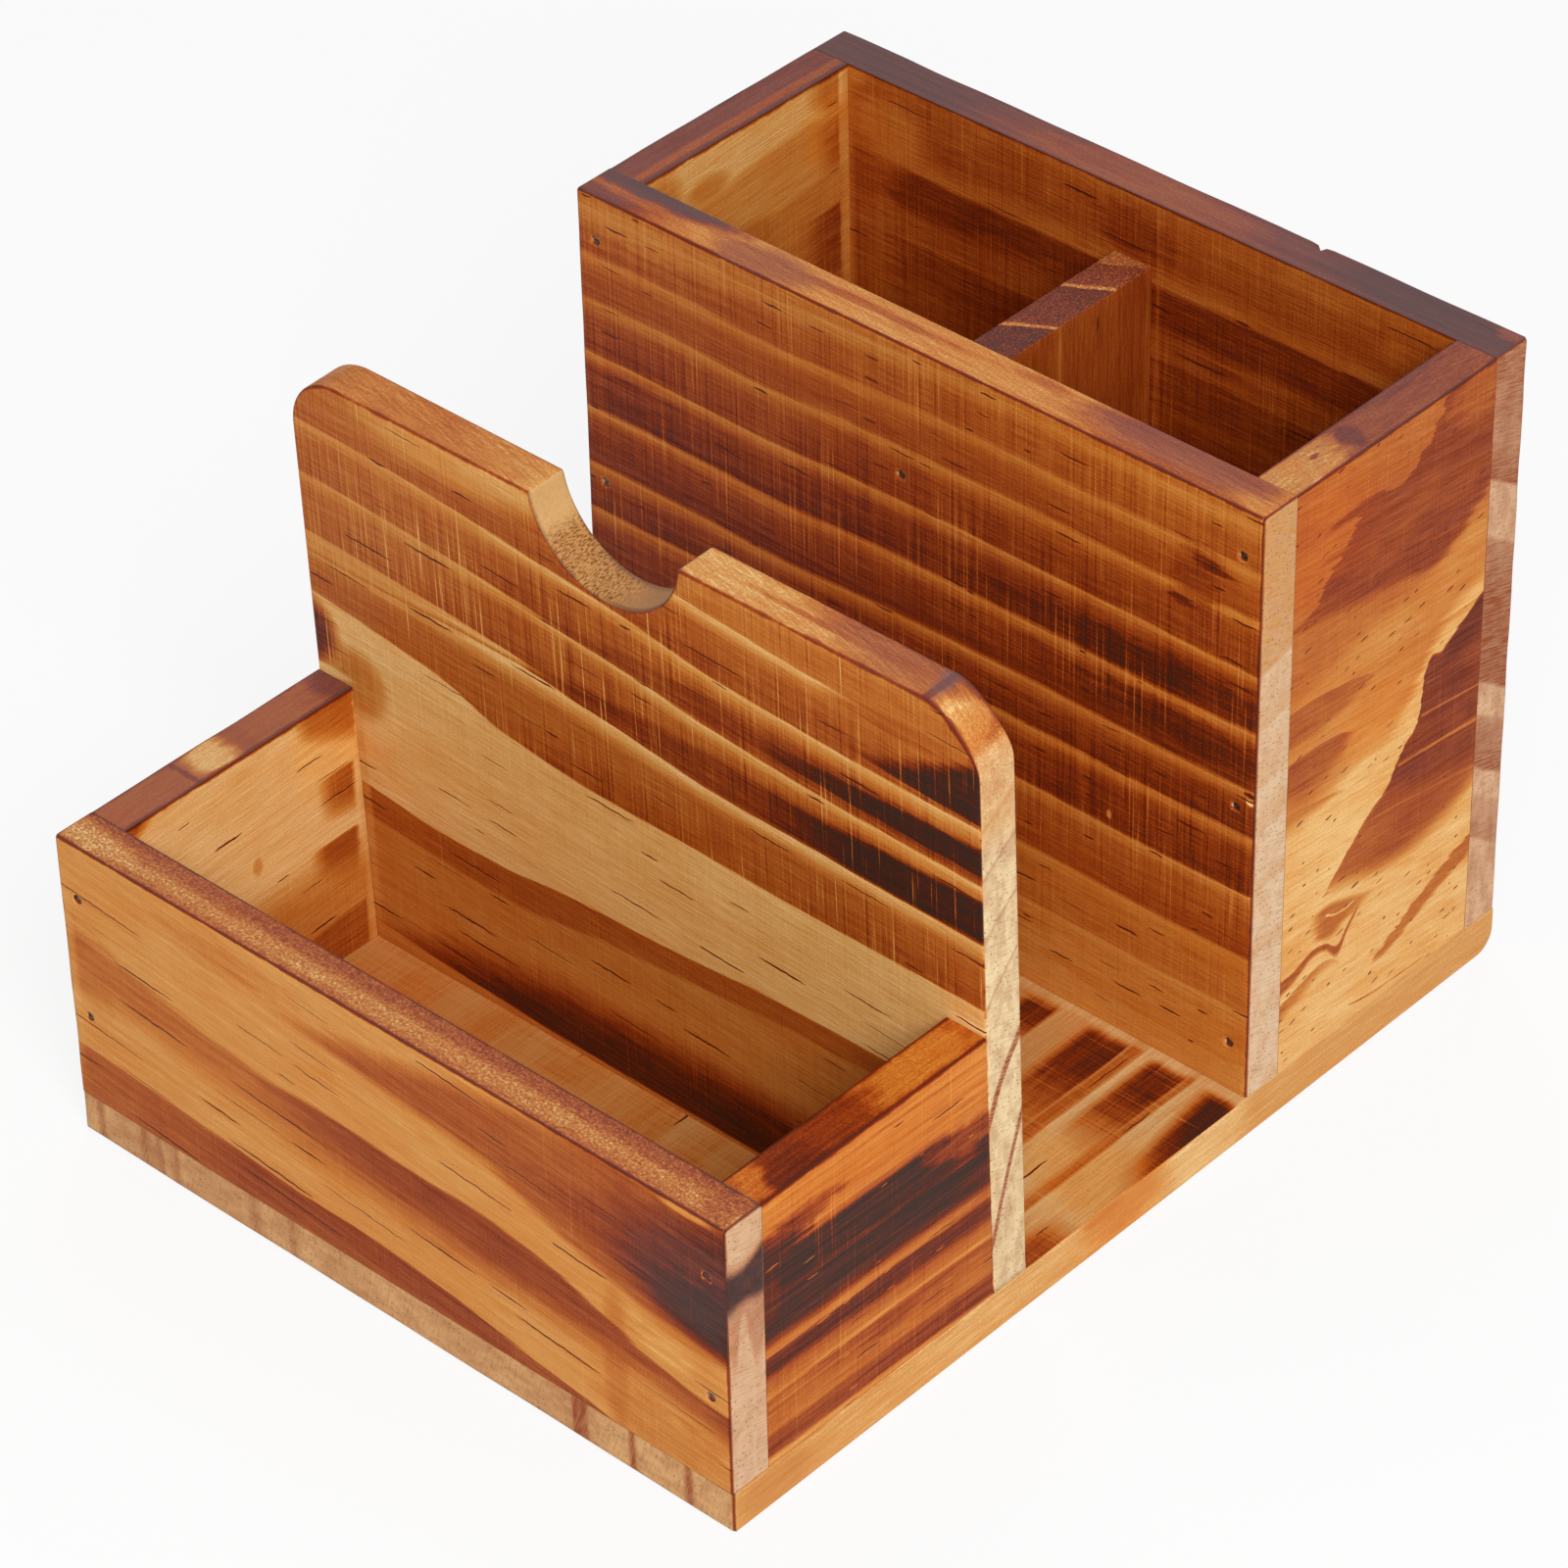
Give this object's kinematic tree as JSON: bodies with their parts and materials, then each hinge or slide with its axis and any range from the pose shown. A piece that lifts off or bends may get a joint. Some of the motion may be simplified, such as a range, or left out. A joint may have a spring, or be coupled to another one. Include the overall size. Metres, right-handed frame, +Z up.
{
  "type": "napkin holder",
  "caption": "Torch-charred pine desk caddy: open front tray, upright napkin slot with a notched backrest, and a tall divided caddy behind, on one base board.",
  "frame": {"origin": "middle of the base board's underside, on the table", "axes": "+Z up, +Y from the low tray to the tall caddy, +X along the boards to the right as seen from the tray"},
  "size_m": [0.18, 0.235, 0.153],
  "materials": {
    "charred_pine": "knotty pine, torch-charred and brushed, with a thin satin clear coat",
    "brad_steel": "dulled bright steel"
  },
  "bodies": {
    "root": {"base_board": "charred_pine", "tray_front": "charred_pine", "tray_side_left": "charred_pine", "tray_side_right": "charred_pine", "backrest": "charred_pine", "caddy_front": "charred_pine", "caddy_side_left": "charred_pine", "caddy_side_right": "charred_pine", "caddy_back": "charred_pine", "caddy_divider": "charred_pine", "tray_front_brads": "brad_steel", "backrest_brads": "brad_steel", "caddy_front_brads": "brad_steel", "caddy_back_brads": "brad_steel", "divider_front_brads": "brad_steel", "divider_back_brads": "brad_steel", "base_tray_brads": "brad_steel", "base_backrest_brads": "brad_steel", "base_caddy_brads": "brad_steel"}
  },
  "joints": []
}
